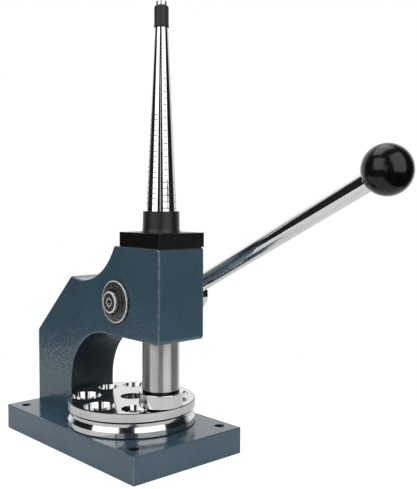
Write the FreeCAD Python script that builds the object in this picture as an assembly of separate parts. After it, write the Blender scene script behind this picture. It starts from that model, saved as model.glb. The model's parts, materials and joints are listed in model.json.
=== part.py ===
"""Bench ring stretcher and reducer: a rack-and-pinion press with a slit mandrel on top.

Millimetres. +Z is up, the origin is the centre of the base's underside, the operator
stands at -Y and the lever is on the +X side. Modelled with the ram fully down.
"""
import FreeCAD, Part
import math
import os

# Base plate
base_width = 100.0
base_depth = 174.0
base_thickness = 20.0
base_edge = 0.8
mount_hole_d = 7.0
mount_inset_x = 10.0
mount_inset_y = 13.0

# Cast frame: a column at the rear, an arched throat and an overhanging head
frame_width = 42.0
column_depth = 51.0
throat_reach = 89.6
throat_height = 68.5
throat_arch_r = 46.0
head_nose = 23.4
head_height = 67.3
scallop_r = 49.4
scallop_rise = 20.8
scallop_setback = 74.6
scallop_tail = 14.0
column_rear_height = 60.0
casting_edge = 1.4
casting_corner = 3.0

# Ram, rack and pinion
ram_d = 27.4
ram_clear = 0.05
gear_module = 1.25
pinion_teeth = 22
pressure_angle = 20.0
backlash = 0.16
tooth_root_clear = 0.25
rack_flat = 0.5
rack_spare_teeth = 3
lever_swing = 60.0
ram_top_clear = 2.0
pivot_height = 26.2

# Shaft, bushes and the washer stack on the left end
pocket_clear = 0.5
left_journal_d = 14.0
right_journal_d = 18.0
running_fit = 0.05
press_gap = 0.02
left_bush_wall = 3.0
left_bush_length = 10.0
right_bush_length = 12.0
right_flange_d = 38.0
right_flange_thick = 3.0
end_play = 0.2
retaining_washer_d = 32.0
retaining_washer_thick = 2.4
spring_washer_d = 21.0
spring_washer_thick = 1.4
spring_washer_split = 1.5
retaining_screw_d = 8.0
retaining_screw_length = 16.0
retaining_head_d = 16.5
retaining_head_height = 3.2
retaining_hex = 5.0

# Hub, lever and ball
hub_d = 26.0
hub_length = 34.4
hub_stub_d = 16.0
hub_stub_length = 9.0
hub_pin_d = 4.0
hub_edge = 1.0
lever_d = 13.0
lever_reach = 211.0
lever_tail = 4.0
lever_rest_angle = 26.2
lever_set_screw_d = 6.0
lever_set_screw_sink = 1.2
lever_hex = 3.0
ball_d = 32.0
ball_flat = 14.0
insert_d = 13.0
insert_length = 16.0
stud_d = 8.0

# Pusher under the ram
pusher_d = 32.2
pusher_thick = 10.6
pusher_rest_gap = 0.4
pusher_neck_d = 22.0
pusher_neck_length = 0.8
pusher_spigot_d = 14.0
pusher_spigot_length = 8.0
pusher_screw_d = 6.0
pusher_screw_head_d = 11.3
pusher_screw_length = 26.0
pusher_edge = 0.6
pusher_hex = 4.0

# Die plate, its tapered dies (degrees round from +X, mouth diameter) and its post
die_plate_d = 97.6
die_plate_thick = 18.6
die_circle_r = 35.6
die_half_angle = 14.0
die_under_step = 0.8
rim_flange = 6.4
rim_groove_wall = 4.1
rim_groove_depth = 1.8
rim_cone = 3.5
die_edge = 0.5
die_seats = (
    (14, 18.4), (51, 16.4), (86, 16.6), (136, 24.0), (192, 24.0),
    (237, 20.0), (270, 16.2), (302, 17.0), (333, 17.2),
)
post_d = 17.2
post_height = 11.0
post_shank_d = 12.0
post_fit = 0.1
post_chamfer = 1.0

# Top plate and collar
top_plate_thick = 10.4
top_plate_rear = 22.6
top_plate_edge = 0.5
top_screw_d = 5.0
top_screw_head_d = 9.6
top_screw_length = 18.0
top_screw_inset = 5.5
top_screw_hex = 3.0
collar_height = 15.2
collar_base_d = 28.0
collar_top_d = 26.3
collar_flare = 1.2
collar_flare_height = 2.6
collar_spigot_wall = 0.8
collar_spigot_depth = 3.0

# Slit mandrel, its tapered core and its cap
mandrel_base_d = 21.8
mandrel_tip_d = 9.3
mandrel_length = 131.4
slit_angle = 14.0
segment_foot_d = 33.0
segment_foot_height = 4.0
segment_slide_gap = 0.1
segment_clear = 0.3
spigot_d = 7.8
spigot_length = 10.0
core_tip_d = 5.2
core_taper = 0.0225
core_fit = 0.15
core_shank_d = 8.0
core_shank_length = 16.0
core_pin_d = 3.0
return_ring_section = 1.8
cap_seat_gap = 0.2
cap_height = 15.0
cap_d = 10.4
cap_flare_d = 11.0
cap_flare_height = 2.0
cap_shoulder = 1.6
tip_nut_d = 8.0
tip_nut_height = 3.0
tip_stub_d = 3.6
tip_stub_length = 2.0

# Fasteners that hold the frame to the base from below
frame_bolt_d = 10.0
frame_bolt_head_d = 16.0
frame_bolt_head_height = 9.0
frame_bolt_sink = 1.5
frame_bolt_bite = 22.0
frame_bolt_pitch = 28.0
frame_bolt_hex = 8.0
dowel_d = 6.0
dowel_length = 24.0
dowel_pitch = 24.0
bolt_gap = 0.4
thread_gap = 0.05
thread_spare = 1.5

# Heights
base_top = base_thickness
head_bottom = base_top + throat_height
head_top = head_bottom + head_height
top_plate_top = head_top + top_plate_thick
collar_top = top_plate_top + collar_height
mandrel_tip = collar_top + mandrel_length
die_top = base_top + die_plate_thick
pusher_bottom = die_top + pusher_rest_gap
pusher_top = pusher_bottom + pusher_thick
ram_bottom = pusher_top + pusher_neck_length
pivot_z = head_bottom + pivot_height

# Gear sizes, and the ram's stroke over the lever's swing
pitch_r = gear_module * pinion_teeth / 2
tooth_pitch = math.pi * gear_module
dedendum = gear_module * (1 + tooth_root_clear)
pinion_r = pitch_r + gear_module
rack_tip = ram_d / 2 - rack_flat
rack_pitch_line = rack_tip - gear_module
pivot_offset = rack_pitch_line + pitch_r
stroke = pitch_r * math.radians(lever_swing)
ram_top = head_top - stroke - ram_top_clear

# Places along Y
column_rear_y = base_depth / 2
throat_wall_y = column_rear_y - column_depth
ram_y = throat_wall_y - throat_reach
head_front_y = ram_y - head_nose
pivot_y = ram_y + pivot_offset
die_y = ram_y + die_circle_r
column_mid_y = column_rear_y - column_depth / 2

# Places along X, from the pinion's pocket out to both ends of the shaft
side = frame_width / 2
pocket_r = pinion_r + pocket_clear
pocket_floor_x = -side + left_bush_length
pinion_left_x = pocket_floor_x + pocket_clear
pinion_right_x = side - right_bush_length - pocket_clear
pinion_width = pinion_right_x - pinion_left_x
right_flange_x = side + right_flange_thick
hub_left_x = right_flange_x + end_play
hub_right_x = hub_left_x + hub_length
lever_x = hub_left_x + hub_length / 2
shaft_left_x = -side - end_play
washer_x = shaft_left_x - retaining_washer_thick
spring_x = washer_x - spring_washer_thick

# The mandrel's spread over the stroke
spread = core_taper * stroke
mandrel_taper = (mandrel_base_d - mandrel_tip_d) / 2 / mandrel_length
foot_bottom = head_top + segment_slide_gap
foot_top = foot_bottom + segment_foot_height
foot_pocket_r = segment_foot_d / 2 + spread + segment_clear
foot_pocket_depth = segment_slide_gap + segment_foot_height + return_ring_section + segment_clear
spigot_top = mandrel_tip + spigot_length
cap_bottom = mandrel_tip + cap_seat_gap
cap_top = cap_bottom + cap_height
tip_nut_bottom = cap_top + cap_seat_gap

TINY = 1e-4
X_AXIS = FreeCAD.Vector(1, 0, 0)
Z_AXIS = FreeCAD.Vector(0, 0, 1)


def point(x, y, z):
    return FreeCAD.Vector(x, y, z)


def rod(diameter, length, start, axis=Z_AXIS):
    return Part.makeCylinder(diameter / 2, length, start, axis)


def upright(diameter, bottom, top, x=0.0, y=0.0):
    return rod(diameter, top - bottom, point(x, y, bottom))


def crosswise(diameter, left, right, y=None, z=None):
    """A cylinder along X, on the pinion's axis unless another line is given."""
    y = pivot_y if y is None else y
    z = pivot_z if z is None else z
    return rod(diameter, right - left, point(left, y, z), X_AXIS)


def hex_prism(across_flats, length, start, axis):
    """A hexagonal key recess that runs from start along axis."""
    corner = across_flats / math.sqrt(3)
    ring = [point(corner * math.cos(math.radians(60 * k)),
                  corner * math.sin(math.radians(60 * k)), 0) for k in range(7)]
    prism = Part.Face(Part.makePolygon(ring)).extrude(point(0, 0, length))
    turn = FreeCAD.Rotation(Z_AXIS, axis)
    prism.Placement = FreeCAD.Placement(start, turn)
    return prism


def turned(outline, x=0.0, y=0.0, start_angle=0.0, sweep=360.0):
    """Revolve (radius, height) corners about a vertical axis at x, y."""
    corners = [point(x + r, y, z) for r, z in outline]
    face = Part.Face(Part.makePolygon(corners + corners[:1]))
    face.rotate(point(x, y, 0), Z_AXIS, start_angle)
    return face.revolve(point(x, y, 0), Z_AXIS, sweep)


def edges_where(shape, test):
    return [edge for edge in shape.Edges if test(edge)]


def is_along(edge, axis):
    """True for a straight edge parallel to axis."""
    if not isinstance(edge.Curve, Part.Line):
        return False
    return abs(abs(edge.Curve.Direction.dot(axis)) - 1) < TINY


def circles_at(shape, radius, z):
    """Level circular edges of one radius at one height."""
    return edges_where(shape, lambda edge: (
        isinstance(edge.Curve, Part.Circle)
        and abs(edge.Curve.Radius - radius) < TINY
        and abs(edge.Curve.Center.z - z) < TINY
        and abs(edge.BoundBox.ZLength) < TINY))


def mandrel_r(z):
    return mandrel_tip_d / 2 + mandrel_taper * (mandrel_tip - z)


def core_r(z):
    return core_tip_d / 2 + core_taper * max(mandrel_tip - z, 0)


def lever_point(distance):
    """A point on the lever's centre line, measured outward from the pinion's axis."""
    tilt = math.radians(lever_rest_angle)
    return point(lever_x, pivot_y - distance * math.cos(tilt), pivot_z + distance * math.sin(tilt))


def lever_axis():
    tilt = math.radians(lever_rest_angle)
    return point(0, -math.cos(tilt), math.sin(tilt))


def lever_rod_between(diameter, inner, outer):
    return rod(diameter, outer - inner, lever_point(inner), lever_axis())


def frame_bolt_places():
    return [(0, column_mid_y + step * frame_bolt_pitch / 2) for step in (-1, 1)]


def dowel_places():
    return [(step * dowel_pitch / 2, column_mid_y) for step in (-1, 1)]


def top_screw_places():
    front = head_front_y + top_screw_inset
    rear = ram_y + top_plate_rear - top_screw_inset
    reach = side - top_screw_inset
    return [(x, y) for x in (-reach, reach) for y in (front, rear)]


def base_plate():
    plate = Part.makeBox(base_width, base_depth, base_thickness,
                         point(-base_width / 2, -base_depth / 2, 0))
    plate = plate.makeFillet(base_edge, plate.Edges)
    hole_x = base_width / 2 - mount_inset_x
    hole_y = base_depth / 2 - mount_inset_y
    cuts = [upright(mount_hole_d, 0, base_top, x, y)
            for x in (-hole_x, hole_x) for y in (-hole_y, hole_y)]
    head_room = frame_bolt_sink + frame_bolt_head_height
    for x, y in frame_bolt_places():
        cuts.append(upright(frame_bolt_head_d + 2 * bolt_gap, 0, head_room, x, y))
        cuts.append(upright(frame_bolt_d + 2 * bolt_gap, 0, base_top, x, y))
    for x, y in dowel_places():
        cuts.append(upright(dowel_d + 2 * press_gap, base_top - dowel_length / 2, base_top, x, y))
    cuts.append(upright(post_shank_d + 2 * press_gap, 0, base_top, 0, die_y))
    return plate.cut(cuts)


def frame_outline():
    """The casting's side view: throat arch, head, scalloped back and sloped column."""
    scallop_y = ram_y + scallop_setback
    scallop_z = head_top + scallop_rise
    scallop_front = scallop_y - math.sqrt(scallop_r ** 2 - scallop_rise ** 2)
    shoulder_y = scallop_y + scallop_tail
    shoulder_z = scallop_z - math.sqrt(scallop_r ** 2 - scallop_tail ** 2)
    arch_y = throat_wall_y - throat_arch_r
    arch_z = head_bottom - throat_arch_r
    bend = throat_arch_r * math.sqrt(0.5)
    nose_low = point(0, head_front_y, head_bottom)
    nose_high = point(0, head_front_y, head_top)
    brow = point(0, scallop_front, head_top)
    shoulder = point(0, shoulder_y, shoulder_z)
    hip = point(0, column_rear_y, base_top + column_rear_height)
    heel = point(0, column_rear_y, base_top)
    toe = point(0, throat_wall_y, base_top)
    arch_foot = point(0, throat_wall_y, arch_z)
    arch_top = point(0, arch_y, head_bottom)
    lines = [(nose_low, nose_high), (nose_high, brow), (shoulder, hip), (hip, heel),
             (heel, toe), (toe, arch_foot), (arch_top, nose_low)]
    edges = [Part.LineSegment(a, b).toShape() for a, b in lines]
    low_point = point(0, scallop_y, scallop_z - scallop_r)
    edges.append(Part.Arc(brow, low_point, shoulder).toShape())
    arch_mid = point(0, arch_y + bend, arch_z + bend)
    edges.append(Part.Arc(arch_foot, arch_mid, arch_top).toShape())
    return Part.Wire(Part.__sortEdges__(edges))


def is_frame_corner(edge):
    """True for the casting's crosswise corners, apart from its foot and the arch's smooth ends."""
    middle = edge.CenterOfMass
    at_foot = middle.z < base_top + TINY
    at_arch_foot = abs(middle.y - throat_wall_y) < TINY
    at_arch_top = abs(middle.z - head_bottom) < TINY and middle.y > head_front_y + TINY
    return is_along(edge, X_AXIS) and not (at_foot or at_arch_foot or at_arch_top)


def frame_casting():
    body = Part.Face(frame_outline()).extrude(point(frame_width, 0, 0))
    body.translate(point(-side, 0, 0))
    body = body.makeFillet(casting_corner, edges_where(body, is_frame_corner))
    rims = edges_where(body, lambda edge: (
        edge.BoundBox.XLength < TINY and abs(abs(edge.BoundBox.XMin) - side) < TINY
        and edge.BoundBox.ZMax > base_top + TINY))
    body = body.makeFillet(casting_edge, rims)
    cuts = [upright(ram_d + 2 * ram_clear, head_bottom, head_top, 0, ram_y)]
    cuts.append(crosswise(2 * pocket_r, pocket_floor_x, side))
    cuts.append(crosswise(left_journal_d + 2 * left_bush_wall, -side, pocket_floor_x))
    for x, y in frame_bolt_places():
        cuts.append(upright(frame_bolt_d + 2 * thread_gap, base_top,
                            base_top + frame_bolt_bite + thread_spare, x, y))
    for x, y in dowel_places():
        cuts.append(upright(dowel_d + 2 * press_gap, base_top, base_top + dowel_length / 2, x, y))
    for x, y in top_screw_places():
        cuts.append(upright(top_screw_d + 2 * thread_gap,
                            top_plate_top - top_screw_length - thread_spare, head_top, x, y))
    return body.cut(cuts)


def frame_bolts():
    bolts = []
    for x, y in frame_bolt_places():
        under_head = frame_bolt_sink + frame_bolt_head_height
        head = upright(frame_bolt_head_d, frame_bolt_sink, under_head, x, y)
        shank = upright(frame_bolt_d, under_head, base_top + frame_bolt_bite, x, y)
        key = hex_prism(frame_bolt_hex, frame_bolt_head_height / 2,
                        point(x, y, frame_bolt_sink), Z_AXIS)
        bolts.append(head.fuse(shank).cut(key))
    return Part.makeCompound(bolts)


def frame_dowels():
    half = dowel_length / 2
    return Part.makeCompound([upright(dowel_d, base_top - half, base_top + half, x, y)
                              for x, y in dowel_places()])


def top_plate():
    depth = head_nose + top_plate_rear
    plate = Part.makeBox(frame_width, depth, top_plate_thick,
                         point(-side, head_front_y, head_top))
    rims = edges_where(plate, lambda edge: edge.BoundBox.ZMax > head_top + TINY)
    plate = plate.makeFillet(top_plate_edge, rims)
    pocket_top = head_top + foot_pocket_depth
    seat_bottom = top_plate_top - collar_spigot_depth
    cuts = [upright(2 * foot_pocket_r, head_top, pocket_top, 0, ram_y)]
    throat_r = mandrel_r(pocket_top) + spread + segment_clear
    cuts.append(upright(2 * throat_r, pocket_top, top_plate_top, 0, ram_y))
    cuts.append(upright(2 * (collar_spigot_r() + press_gap), seat_bottom, top_plate_top, 0, ram_y))
    for x, y in top_screw_places():
        cuts.append(upright(top_screw_d + 2 * bolt_gap, head_top, top_plate_top, x, y))
        sink = (top_screw_head_d - top_screw_d) / 2
        cuts.append(Part.makeCone(top_screw_d / 2 + thread_gap, top_screw_head_d / 2 + thread_gap,
                                  sink, point(x, y, top_plate_top - sink)))
    return plate.cut(cuts)


def top_plate_screws():
    screws = []
    sink = (top_screw_head_d - top_screw_d) / 2
    for x, y in top_screw_places():
        shank = upright(top_screw_d, top_plate_top - top_screw_length, top_plate_top - sink, x, y)
        head = Part.makeCone(top_screw_d / 2, top_screw_head_d / 2, sink,
                             point(x, y, top_plate_top - sink))
        key = hex_prism(top_screw_hex, sink, point(x, y, top_plate_top), -Z_AXIS)
        screws.append(shank.fuse(head).cut(key))
    return Part.makeCompound(screws)


def collar_bore_r(z):
    return mandrel_r(z) + spread + segment_clear


def collar_spigot_r():
    return collar_bore_r(top_plate_top - collar_spigot_depth) + collar_spigot_wall


def mandrel_collar():
    """A tapered sleeve round the foot of the mandrel, with a spigot down in the top plate."""
    spigot_bottom = top_plate_top - collar_spigot_depth
    base_r = collar_base_d / 2
    flare_top = top_plate_top + collar_flare_height
    return turned([
        (collar_bore_r(spigot_bottom), spigot_bottom), (collar_spigot_r(), spigot_bottom),
        (collar_spigot_r(), top_plate_top), (base_r, top_plate_top),
        (base_r - collar_flare / 2, flare_top), (collar_top_d / 2, collar_top),
        (collar_bore_r(collar_top), collar_top),
    ], y=ram_y)


def segment_return_ring():
    """The rubber ring that squeezes the four segments onto the core."""
    section = return_ring_section / 2
    centre_z = foot_top + segment_slide_gap + section
    ring_r = mandrel_r(foot_top) + spread + segment_slide_gap + section
    return Part.makeTorus(ring_r, section, point(0, ram_y, centre_z), Z_AXIS)


def mandrel_segment(middle_angle):
    """One quarter of the slit mandrel, centred on an angle round from +X."""
    outline = [
        (core_r(foot_bottom) + core_fit, foot_bottom), (segment_foot_d / 2, foot_bottom),
        (segment_foot_d / 2, foot_top), (mandrel_r(foot_top), foot_top),
        (mandrel_r(mandrel_tip), mandrel_tip), (spigot_d / 2, mandrel_tip),
        (spigot_d / 2, spigot_top), (core_r(spigot_top) + core_fit, spigot_top),
        (core_r(mandrel_tip) + core_fit, mandrel_tip),
    ]
    sweep = 90 - slit_angle
    return turned(outline, y=ram_y, start_angle=middle_angle - sweep / 2, sweep=sweep)


def mandrel_cap():
    """The rubber ferrule over the segments' tips."""
    bore_r = spigot_d / 2 + spread + segment_clear
    bore_top = spigot_top + segment_clear
    hole_r = core_tip_d / 2 + spread + segment_clear
    cap = turned([
        (bore_r, cap_bottom), (cap_flare_d / 2, cap_bottom),
        (cap_d / 2, cap_bottom + cap_flare_height), (cap_d / 2, cap_top),
        (hole_r, cap_top), (hole_r, bore_top), (bore_r, bore_top),
    ], y=ram_y)
    return cap.makeFillet(min(cap_shoulder, (cap_d / 2 - hole_r) * 0.9),
                          circles_at(cap, cap_d / 2, cap_top))


def expander_core():
    """The tapered rod inside the mandrel; it rises and falls with the ram."""
    stub_top = tip_nut_bottom + tip_stub_length
    core = turned([
        (0, ram_top - core_shank_length), (core_shank_d / 2, ram_top - core_shank_length),
        (core_shank_d / 2, ram_top), (core_r(ram_top), ram_top),
        (core_r(mandrel_tip), mandrel_tip), (core_tip_d / 2, tip_nut_bottom),
        (tip_stub_d / 2, tip_nut_bottom), (tip_stub_d / 2, stub_top), (0, stub_top),
    ], y=ram_y)
    return core.cut(core_pin_hole())


def core_pin_z():
    return ram_top - core_shank_length / 2


def core_pin_hole():
    return crosswise(core_pin_d + 2 * press_gap, -ram_d / 2, ram_d / 2, ram_y, core_pin_z())


def core_pin():
    reach = math.sqrt((ram_d / 2) ** 2 - (core_pin_d / 2) ** 2) - bolt_gap
    return crosswise(core_pin_d, -reach, reach, ram_y, core_pin_z())


def core_tip_nut():
    nut = upright(tip_nut_d, tip_nut_bottom, tip_nut_bottom + tip_nut_height, 0, ram_y)
    top_rim = circles_at(nut, tip_nut_d / 2, tip_nut_bottom + tip_nut_height)
    nut = nut.makeFillet(tip_nut_height / 4, top_rim)
    return nut.cut(upright(tip_stub_d + 2 * thread_gap, tip_nut_bottom,
                           tip_nut_bottom + tip_stub_length + thread_gap, 0, ram_y))


def rack_space(centre_z):
    """The gap between two rack teeth, cut right across the back of the ram."""
    slope = math.tan(math.radians(pressure_angle))
    half = tooth_pitch / 4 + backlash / 2
    root = rack_pitch_line - dedendum
    mouth = rack_tip + gear_module
    low = half - dedendum * slope
    high = half + (mouth - rack_pitch_line) * slope
    corners = [point(-ram_d / 2, ram_y + reach, centre_z + step) for reach, step in
               ((root, -low), (mouth, -high), (mouth, high), (root, low))]
    return Part.Face(Part.makePolygon(corners + corners[:1])).extrude(point(ram_d, 0, 0))


def ram():
    """A ground round bar with a rack cut down its back."""
    bar = upright(ram_d, ram_bottom, ram_top, 0, ram_y)
    below = rack_spare_teeth + math.ceil(stroke / tooth_pitch)
    spaces = [pivot_z + (k + 0.5) * tooth_pitch for k in range(-below, rack_spare_teeth)]
    rack_low = spaces[0] - tooth_pitch / 2
    rack_high = spaces[-1] + tooth_pitch / 2
    cuts = [Part.makeBox(ram_d, ram_d, rack_high - rack_low,
                         point(-ram_d / 2, ram_y + rack_tip, rack_low))]
    cuts += [rack_space(z) for z in spaces]
    cuts.append(upright(core_shank_d + 2 * thread_gap, ram_top - core_shank_length, ram_top,
                        0, ram_y))
    cuts.append(core_pin_hole())
    cuts.append(upright(pusher_spigot_d + 2 * thread_gap, ram_bottom,
                        ram_bottom + pusher_spigot_length + bolt_gap, 0, ram_y))
    cuts.append(upright(pusher_screw_d + 2 * thread_gap, ram_bottom,
                        pusher_bottom + pusher_screw_length + bolt_gap, 0, ram_y))
    return bar.cut(cuts)


def pusher():
    """The round foot under the ram, on a narrower neck."""
    foot = upright(pusher_d, pusher_bottom, pusher_top, 0, ram_y)
    rims = circles_at(foot, pusher_d / 2, pusher_bottom) + circles_at(foot, pusher_d / 2, pusher_top)
    foot = foot.makeFillet(pusher_edge, rims)
    neck = upright(pusher_neck_d, pusher_top, ram_bottom, 0, ram_y)
    spigot = upright(pusher_spigot_d, ram_bottom, ram_bottom + pusher_spigot_length, 0, ram_y)
    sink = (pusher_screw_head_d - pusher_screw_d) / 2
    hole = upright(pusher_screw_d + 2 * bolt_gap, pusher_bottom,
                   ram_bottom + pusher_spigot_length, 0, ram_y)
    seat = Part.makeCone(pusher_screw_head_d / 2 + thread_gap, pusher_screw_d / 2 + thread_gap,
                         sink, point(0, ram_y, pusher_bottom))
    return foot.fuse([neck, spigot]).cut([hole, seat])


def pusher_screw():
    sink = (pusher_screw_head_d - pusher_screw_d) / 2
    head = Part.makeCone(pusher_screw_head_d / 2, pusher_screw_d / 2, sink,
                         point(0, ram_y, pusher_bottom))
    shank = upright(pusher_screw_d, pusher_bottom + sink, pusher_bottom + pusher_screw_length,
                    0, ram_y)
    key = hex_prism(pusher_hex, sink, point(0, ram_y, pusher_bottom), Z_AXIS)
    return head.fuse(shank).cut(key)


def die_bore(angle, mouth_d):
    """An hourglass hole: one taper down to the mid plane and a smaller one up to it."""
    turn = math.radians(angle)
    x = die_circle_r * math.cos(turn)
    y = die_y + die_circle_r * math.sin(turn)
    half = die_plate_thick / 2
    draw = half * math.tan(math.radians(die_half_angle))
    under_r = (mouth_d - die_under_step) / 2
    upper = Part.makeCone(mouth_d / 2 - draw, mouth_d / 2, half, point(x, y, base_top + half))
    lower = Part.makeCone(under_r, under_r - draw, half, point(x, y, base_top))
    return upper.fuse(lower)


def die_plate():
    disc_r = die_plate_d / 2
    groove_top = die_top - rim_flange
    groove_low = groove_top - rim_groove_wall
    waist_r = disc_r - rim_groove_depth
    disc = turned([
        (0, base_top), (disc_r - die_edge, base_top), (disc_r, base_top + die_edge),
        (disc_r, groove_low - rim_cone), (waist_r, groove_low), (waist_r, groove_top),
        (disc_r, groove_top), (disc_r, die_top - die_edge), (disc_r - die_edge, die_top),
        (0, die_top),
    ], y=die_y)
    cuts = [die_bore(angle, mouth_d) for angle, mouth_d in die_seats]
    cuts.append(upright(post_d + 2 * post_fit, base_top, die_top, 0, die_y))
    return disc.cut(cuts)


def die_pivot_post():
    post_top = base_top + post_height
    return turned([
        (0, 0), (post_shank_d / 2, 0), (post_shank_d / 2, base_top), (post_d / 2, base_top),
        (post_d / 2, post_top - post_chamfer), (post_d / 2 - post_chamfer, post_top), (0, post_top),
    ], y=die_y)


def left_shaft_bush():
    outer = crosswise(left_journal_d + 2 * left_bush_wall - 2 * press_gap, -side, pocket_floor_x)
    return outer.cut(crosswise(left_journal_d + 2 * running_fit, -side, pocket_floor_x))


def right_shaft_bush():
    """The flanged bush that closes the pinion's pocket, relieved where the ram slides past."""
    sleeve = crosswise(2 * (pocket_r - press_gap), side - right_bush_length, side)
    flange = crosswise(right_flange_d, side, right_flange_x)
    bore = crosswise(right_journal_d + 2 * running_fit, side - right_bush_length, right_flange_x)
    relief = upright(ram_d + 2 * segment_clear, head_bottom, head_top, 0, ram_y)
    return sleeve.fuse(flange).cut([bore, relief])


def pinion_outline():
    """Involute teeth as short straight runs, with a gap facing the rack."""
    lean = math.tan(math.radians(pressure_angle))
    base_r = pitch_r * math.cos(math.radians(pressure_angle))
    root_r = pitch_r - dedendum
    half_tooth = (tooth_pitch / 2 - backlash / 2) / 2 / pitch_r
    pitch_roll = lean - math.radians(pressure_angle)
    flank_steps = 4
    flank = [(root_r, half_tooth + pitch_roll)]
    for step in range(flank_steps + 1):
        r = base_r + (pinion_r - base_r) * step / flank_steps
        roll = math.sqrt((r / base_r) ** 2 - 1)
        flank.append((r, half_tooth + pitch_roll - (roll - math.atan(roll))))
    corners = []
    for tooth in range(pinion_teeth):
        middle = math.pi + (tooth + 0.5) * 2 * math.pi / pinion_teeth
        ends = [(r, middle - turn) for r, turn in flank]
        ends += [(r, middle + turn) for r, turn in reversed(flank)]
        corners += [point(pinion_left_x, pivot_y + r * math.cos(turn), pivot_z + r * math.sin(turn))
                    for r, turn in ends]
    return Part.makePolygon(corners + corners[:1])


def pinion_shaft():
    gear = Part.Face(pinion_outline()).extrude(point(pinion_width, 0, 0))
    left = crosswise(left_journal_d, shaft_left_x, pinion_left_x)
    right = crosswise(right_journal_d, pinion_right_x, hub_left_x)
    stub = crosswise(hub_stub_d, hub_left_x, hub_left_x + hub_stub_length)
    thread = crosswise(retaining_screw_d + 2 * thread_gap, shaft_left_x,
                       shaft_left_x + retaining_screw_length + bolt_gap)
    return gear.fuse([left, right, stub]).cut([thread, hub_pin_hole()])


def retaining_washer():
    disc = crosswise(retaining_washer_d, washer_x, shaft_left_x)
    rim = edges_where(disc, lambda edge: (
        isinstance(edge.Curve, Part.Circle) and abs(edge.CenterOfMass.x - washer_x) < TINY))
    disc = disc.makeChamfer(retaining_washer_thick / 4, rim)
    return disc.cut(crosswise(retaining_screw_d + 2 * bolt_gap, washer_x, shaft_left_x))


def spring_washer():
    ring = crosswise(spring_washer_d, spring_x, washer_x)
    bore = crosswise(retaining_screw_d + 2 * bolt_gap, spring_x, washer_x)
    split = Part.makeBox(spring_washer_thick, spring_washer_d, spring_washer_split,
                         point(spring_x, pivot_y, pivot_z - spring_washer_split / 2))
    return ring.cut([bore, split])


def retaining_screw():
    head_x = spring_x - retaining_head_height
    head = crosswise(retaining_head_d, head_x, spring_x)
    rim = edges_where(head, lambda edge: (
        isinstance(edge.Curve, Part.Circle) and abs(edge.CenterOfMass.x - head_x) < TINY))
    head = head.makeFillet(retaining_head_height / 3, rim)
    shank = crosswise(retaining_screw_d, spring_x, shaft_left_x + retaining_screw_length)
    key = hex_prism(retaining_hex, retaining_head_height * 0.8, point(head_x, pivot_y, pivot_z), X_AXIS)
    return head.fuse(shank).cut(key)


def hub_pin_x():
    return hub_left_x + hub_stub_length / 2


def hub_pin_hole():
    return upright(hub_pin_d + 2 * press_gap, pivot_z - hub_d, pivot_z + hub_d, hub_pin_x(), pivot_y)


def hub_pin():
    reach = math.sqrt((hub_d / 2) ** 2 - (hub_pin_d / 2) ** 2) - bolt_gap
    return upright(hub_pin_d, pivot_z - reach, pivot_z + reach, hub_pin_x(), pivot_y)


def lever_hub():
    """The round hub pinned on the shaft, cross bored for the lever."""
    barrel = crosswise(hub_d, hub_left_x, hub_right_x)
    rims = edges_where(barrel, lambda edge: isinstance(edge.Curve, Part.Circle))
    barrel = barrel.makeFillet(hub_edge, rims)
    stub = crosswise(hub_stub_d + 2 * press_gap, hub_left_x, hub_left_x + hub_stub_length + bolt_gap)
    thread = crosswise(lever_set_screw_d + 2 * thread_gap, lever_x, hub_right_x)
    return barrel.cut([stub, thread, hub_pin_hole(),
                       lever_rod_between(lever_d + 2 * running_fit, -hub_d, hub_d)])


def lever_set_screw():
    tip = lever_x + lever_d / 2 + running_fit
    outer = hub_right_x - lever_set_screw_sink
    screw = crosswise(lever_set_screw_d, tip, outer)
    return screw.cut(hex_prism(lever_hex, lever_hex, point(outer, pivot_y, pivot_z), -X_AXIS))


def knob_seat():
    """How far out along the lever the ball's flat lies."""
    return lever_reach - ball_flat


def lever_rod():
    bar = lever_rod_between(lever_d, -hub_d / 2 - lever_tail, knob_seat())
    ends = edges_where(bar, lambda edge: isinstance(edge.Curve, Part.Circle))
    bar = bar.makeFillet(hub_edge, ends)
    stud_end = knob_seat() + insert_length - hub_edge
    return bar.fuse(lever_rod_between(stud_d, knob_seat() - hub_edge, stud_end))


def knob_insert():
    tube = lever_rod_between(insert_d, knob_seat(), knob_seat() + insert_length)
    return tube.cut(lever_rod_between(stud_d + 2 * thread_gap, knob_seat(), knob_seat() + insert_length))


def ball_knob():
    ball = Part.makeSphere(ball_d / 2, lever_point(lever_reach))
    flat = lever_rod_between(ball_d, knob_seat() - ball_d, knob_seat())
    hole = lever_rod_between(insert_d + 2 * press_gap, knob_seat(),
                             knob_seat() + insert_length + bolt_gap)
    return ball.cut([flat, hole])


PIECES = {
    "base_plate": base_plate,
    "frame_casting": frame_casting,
    "frame_bolts": frame_bolts,
    "frame_dowels": frame_dowels,
    "top_plate": top_plate,
    "top_plate_screws": top_plate_screws,
    "mandrel_collar": mandrel_collar,
    "segment_return_ring": segment_return_ring,
    "mandrel_cap": mandrel_cap,
    "die_pivot_post": die_pivot_post,
    "left_shaft_bush": left_shaft_bush,
    "right_shaft_bush": right_shaft_bush,
    "pinion_shaft": pinion_shaft,
    "retaining_washer": retaining_washer,
    "spring_washer": spring_washer,
    "retaining_screw": retaining_screw,
    "lever_hub": lever_hub,
    "hub_pin": hub_pin,
    "lever_set_screw": lever_set_screw,
    "lever_rod": lever_rod,
    "knob_insert": knob_insert,
    "ball_knob": ball_knob,
    "ram": ram,
    "pusher": pusher,
    "pusher_screw": pusher_screw,
    "expander_core": expander_core,
    "core_pin": core_pin,
    "core_tip_nut": core_tip_nut,
    "die_plate": die_plate,
}

SEGMENTS = {"right": 0, "rear": 90, "left": 180, "front": 270}


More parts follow.
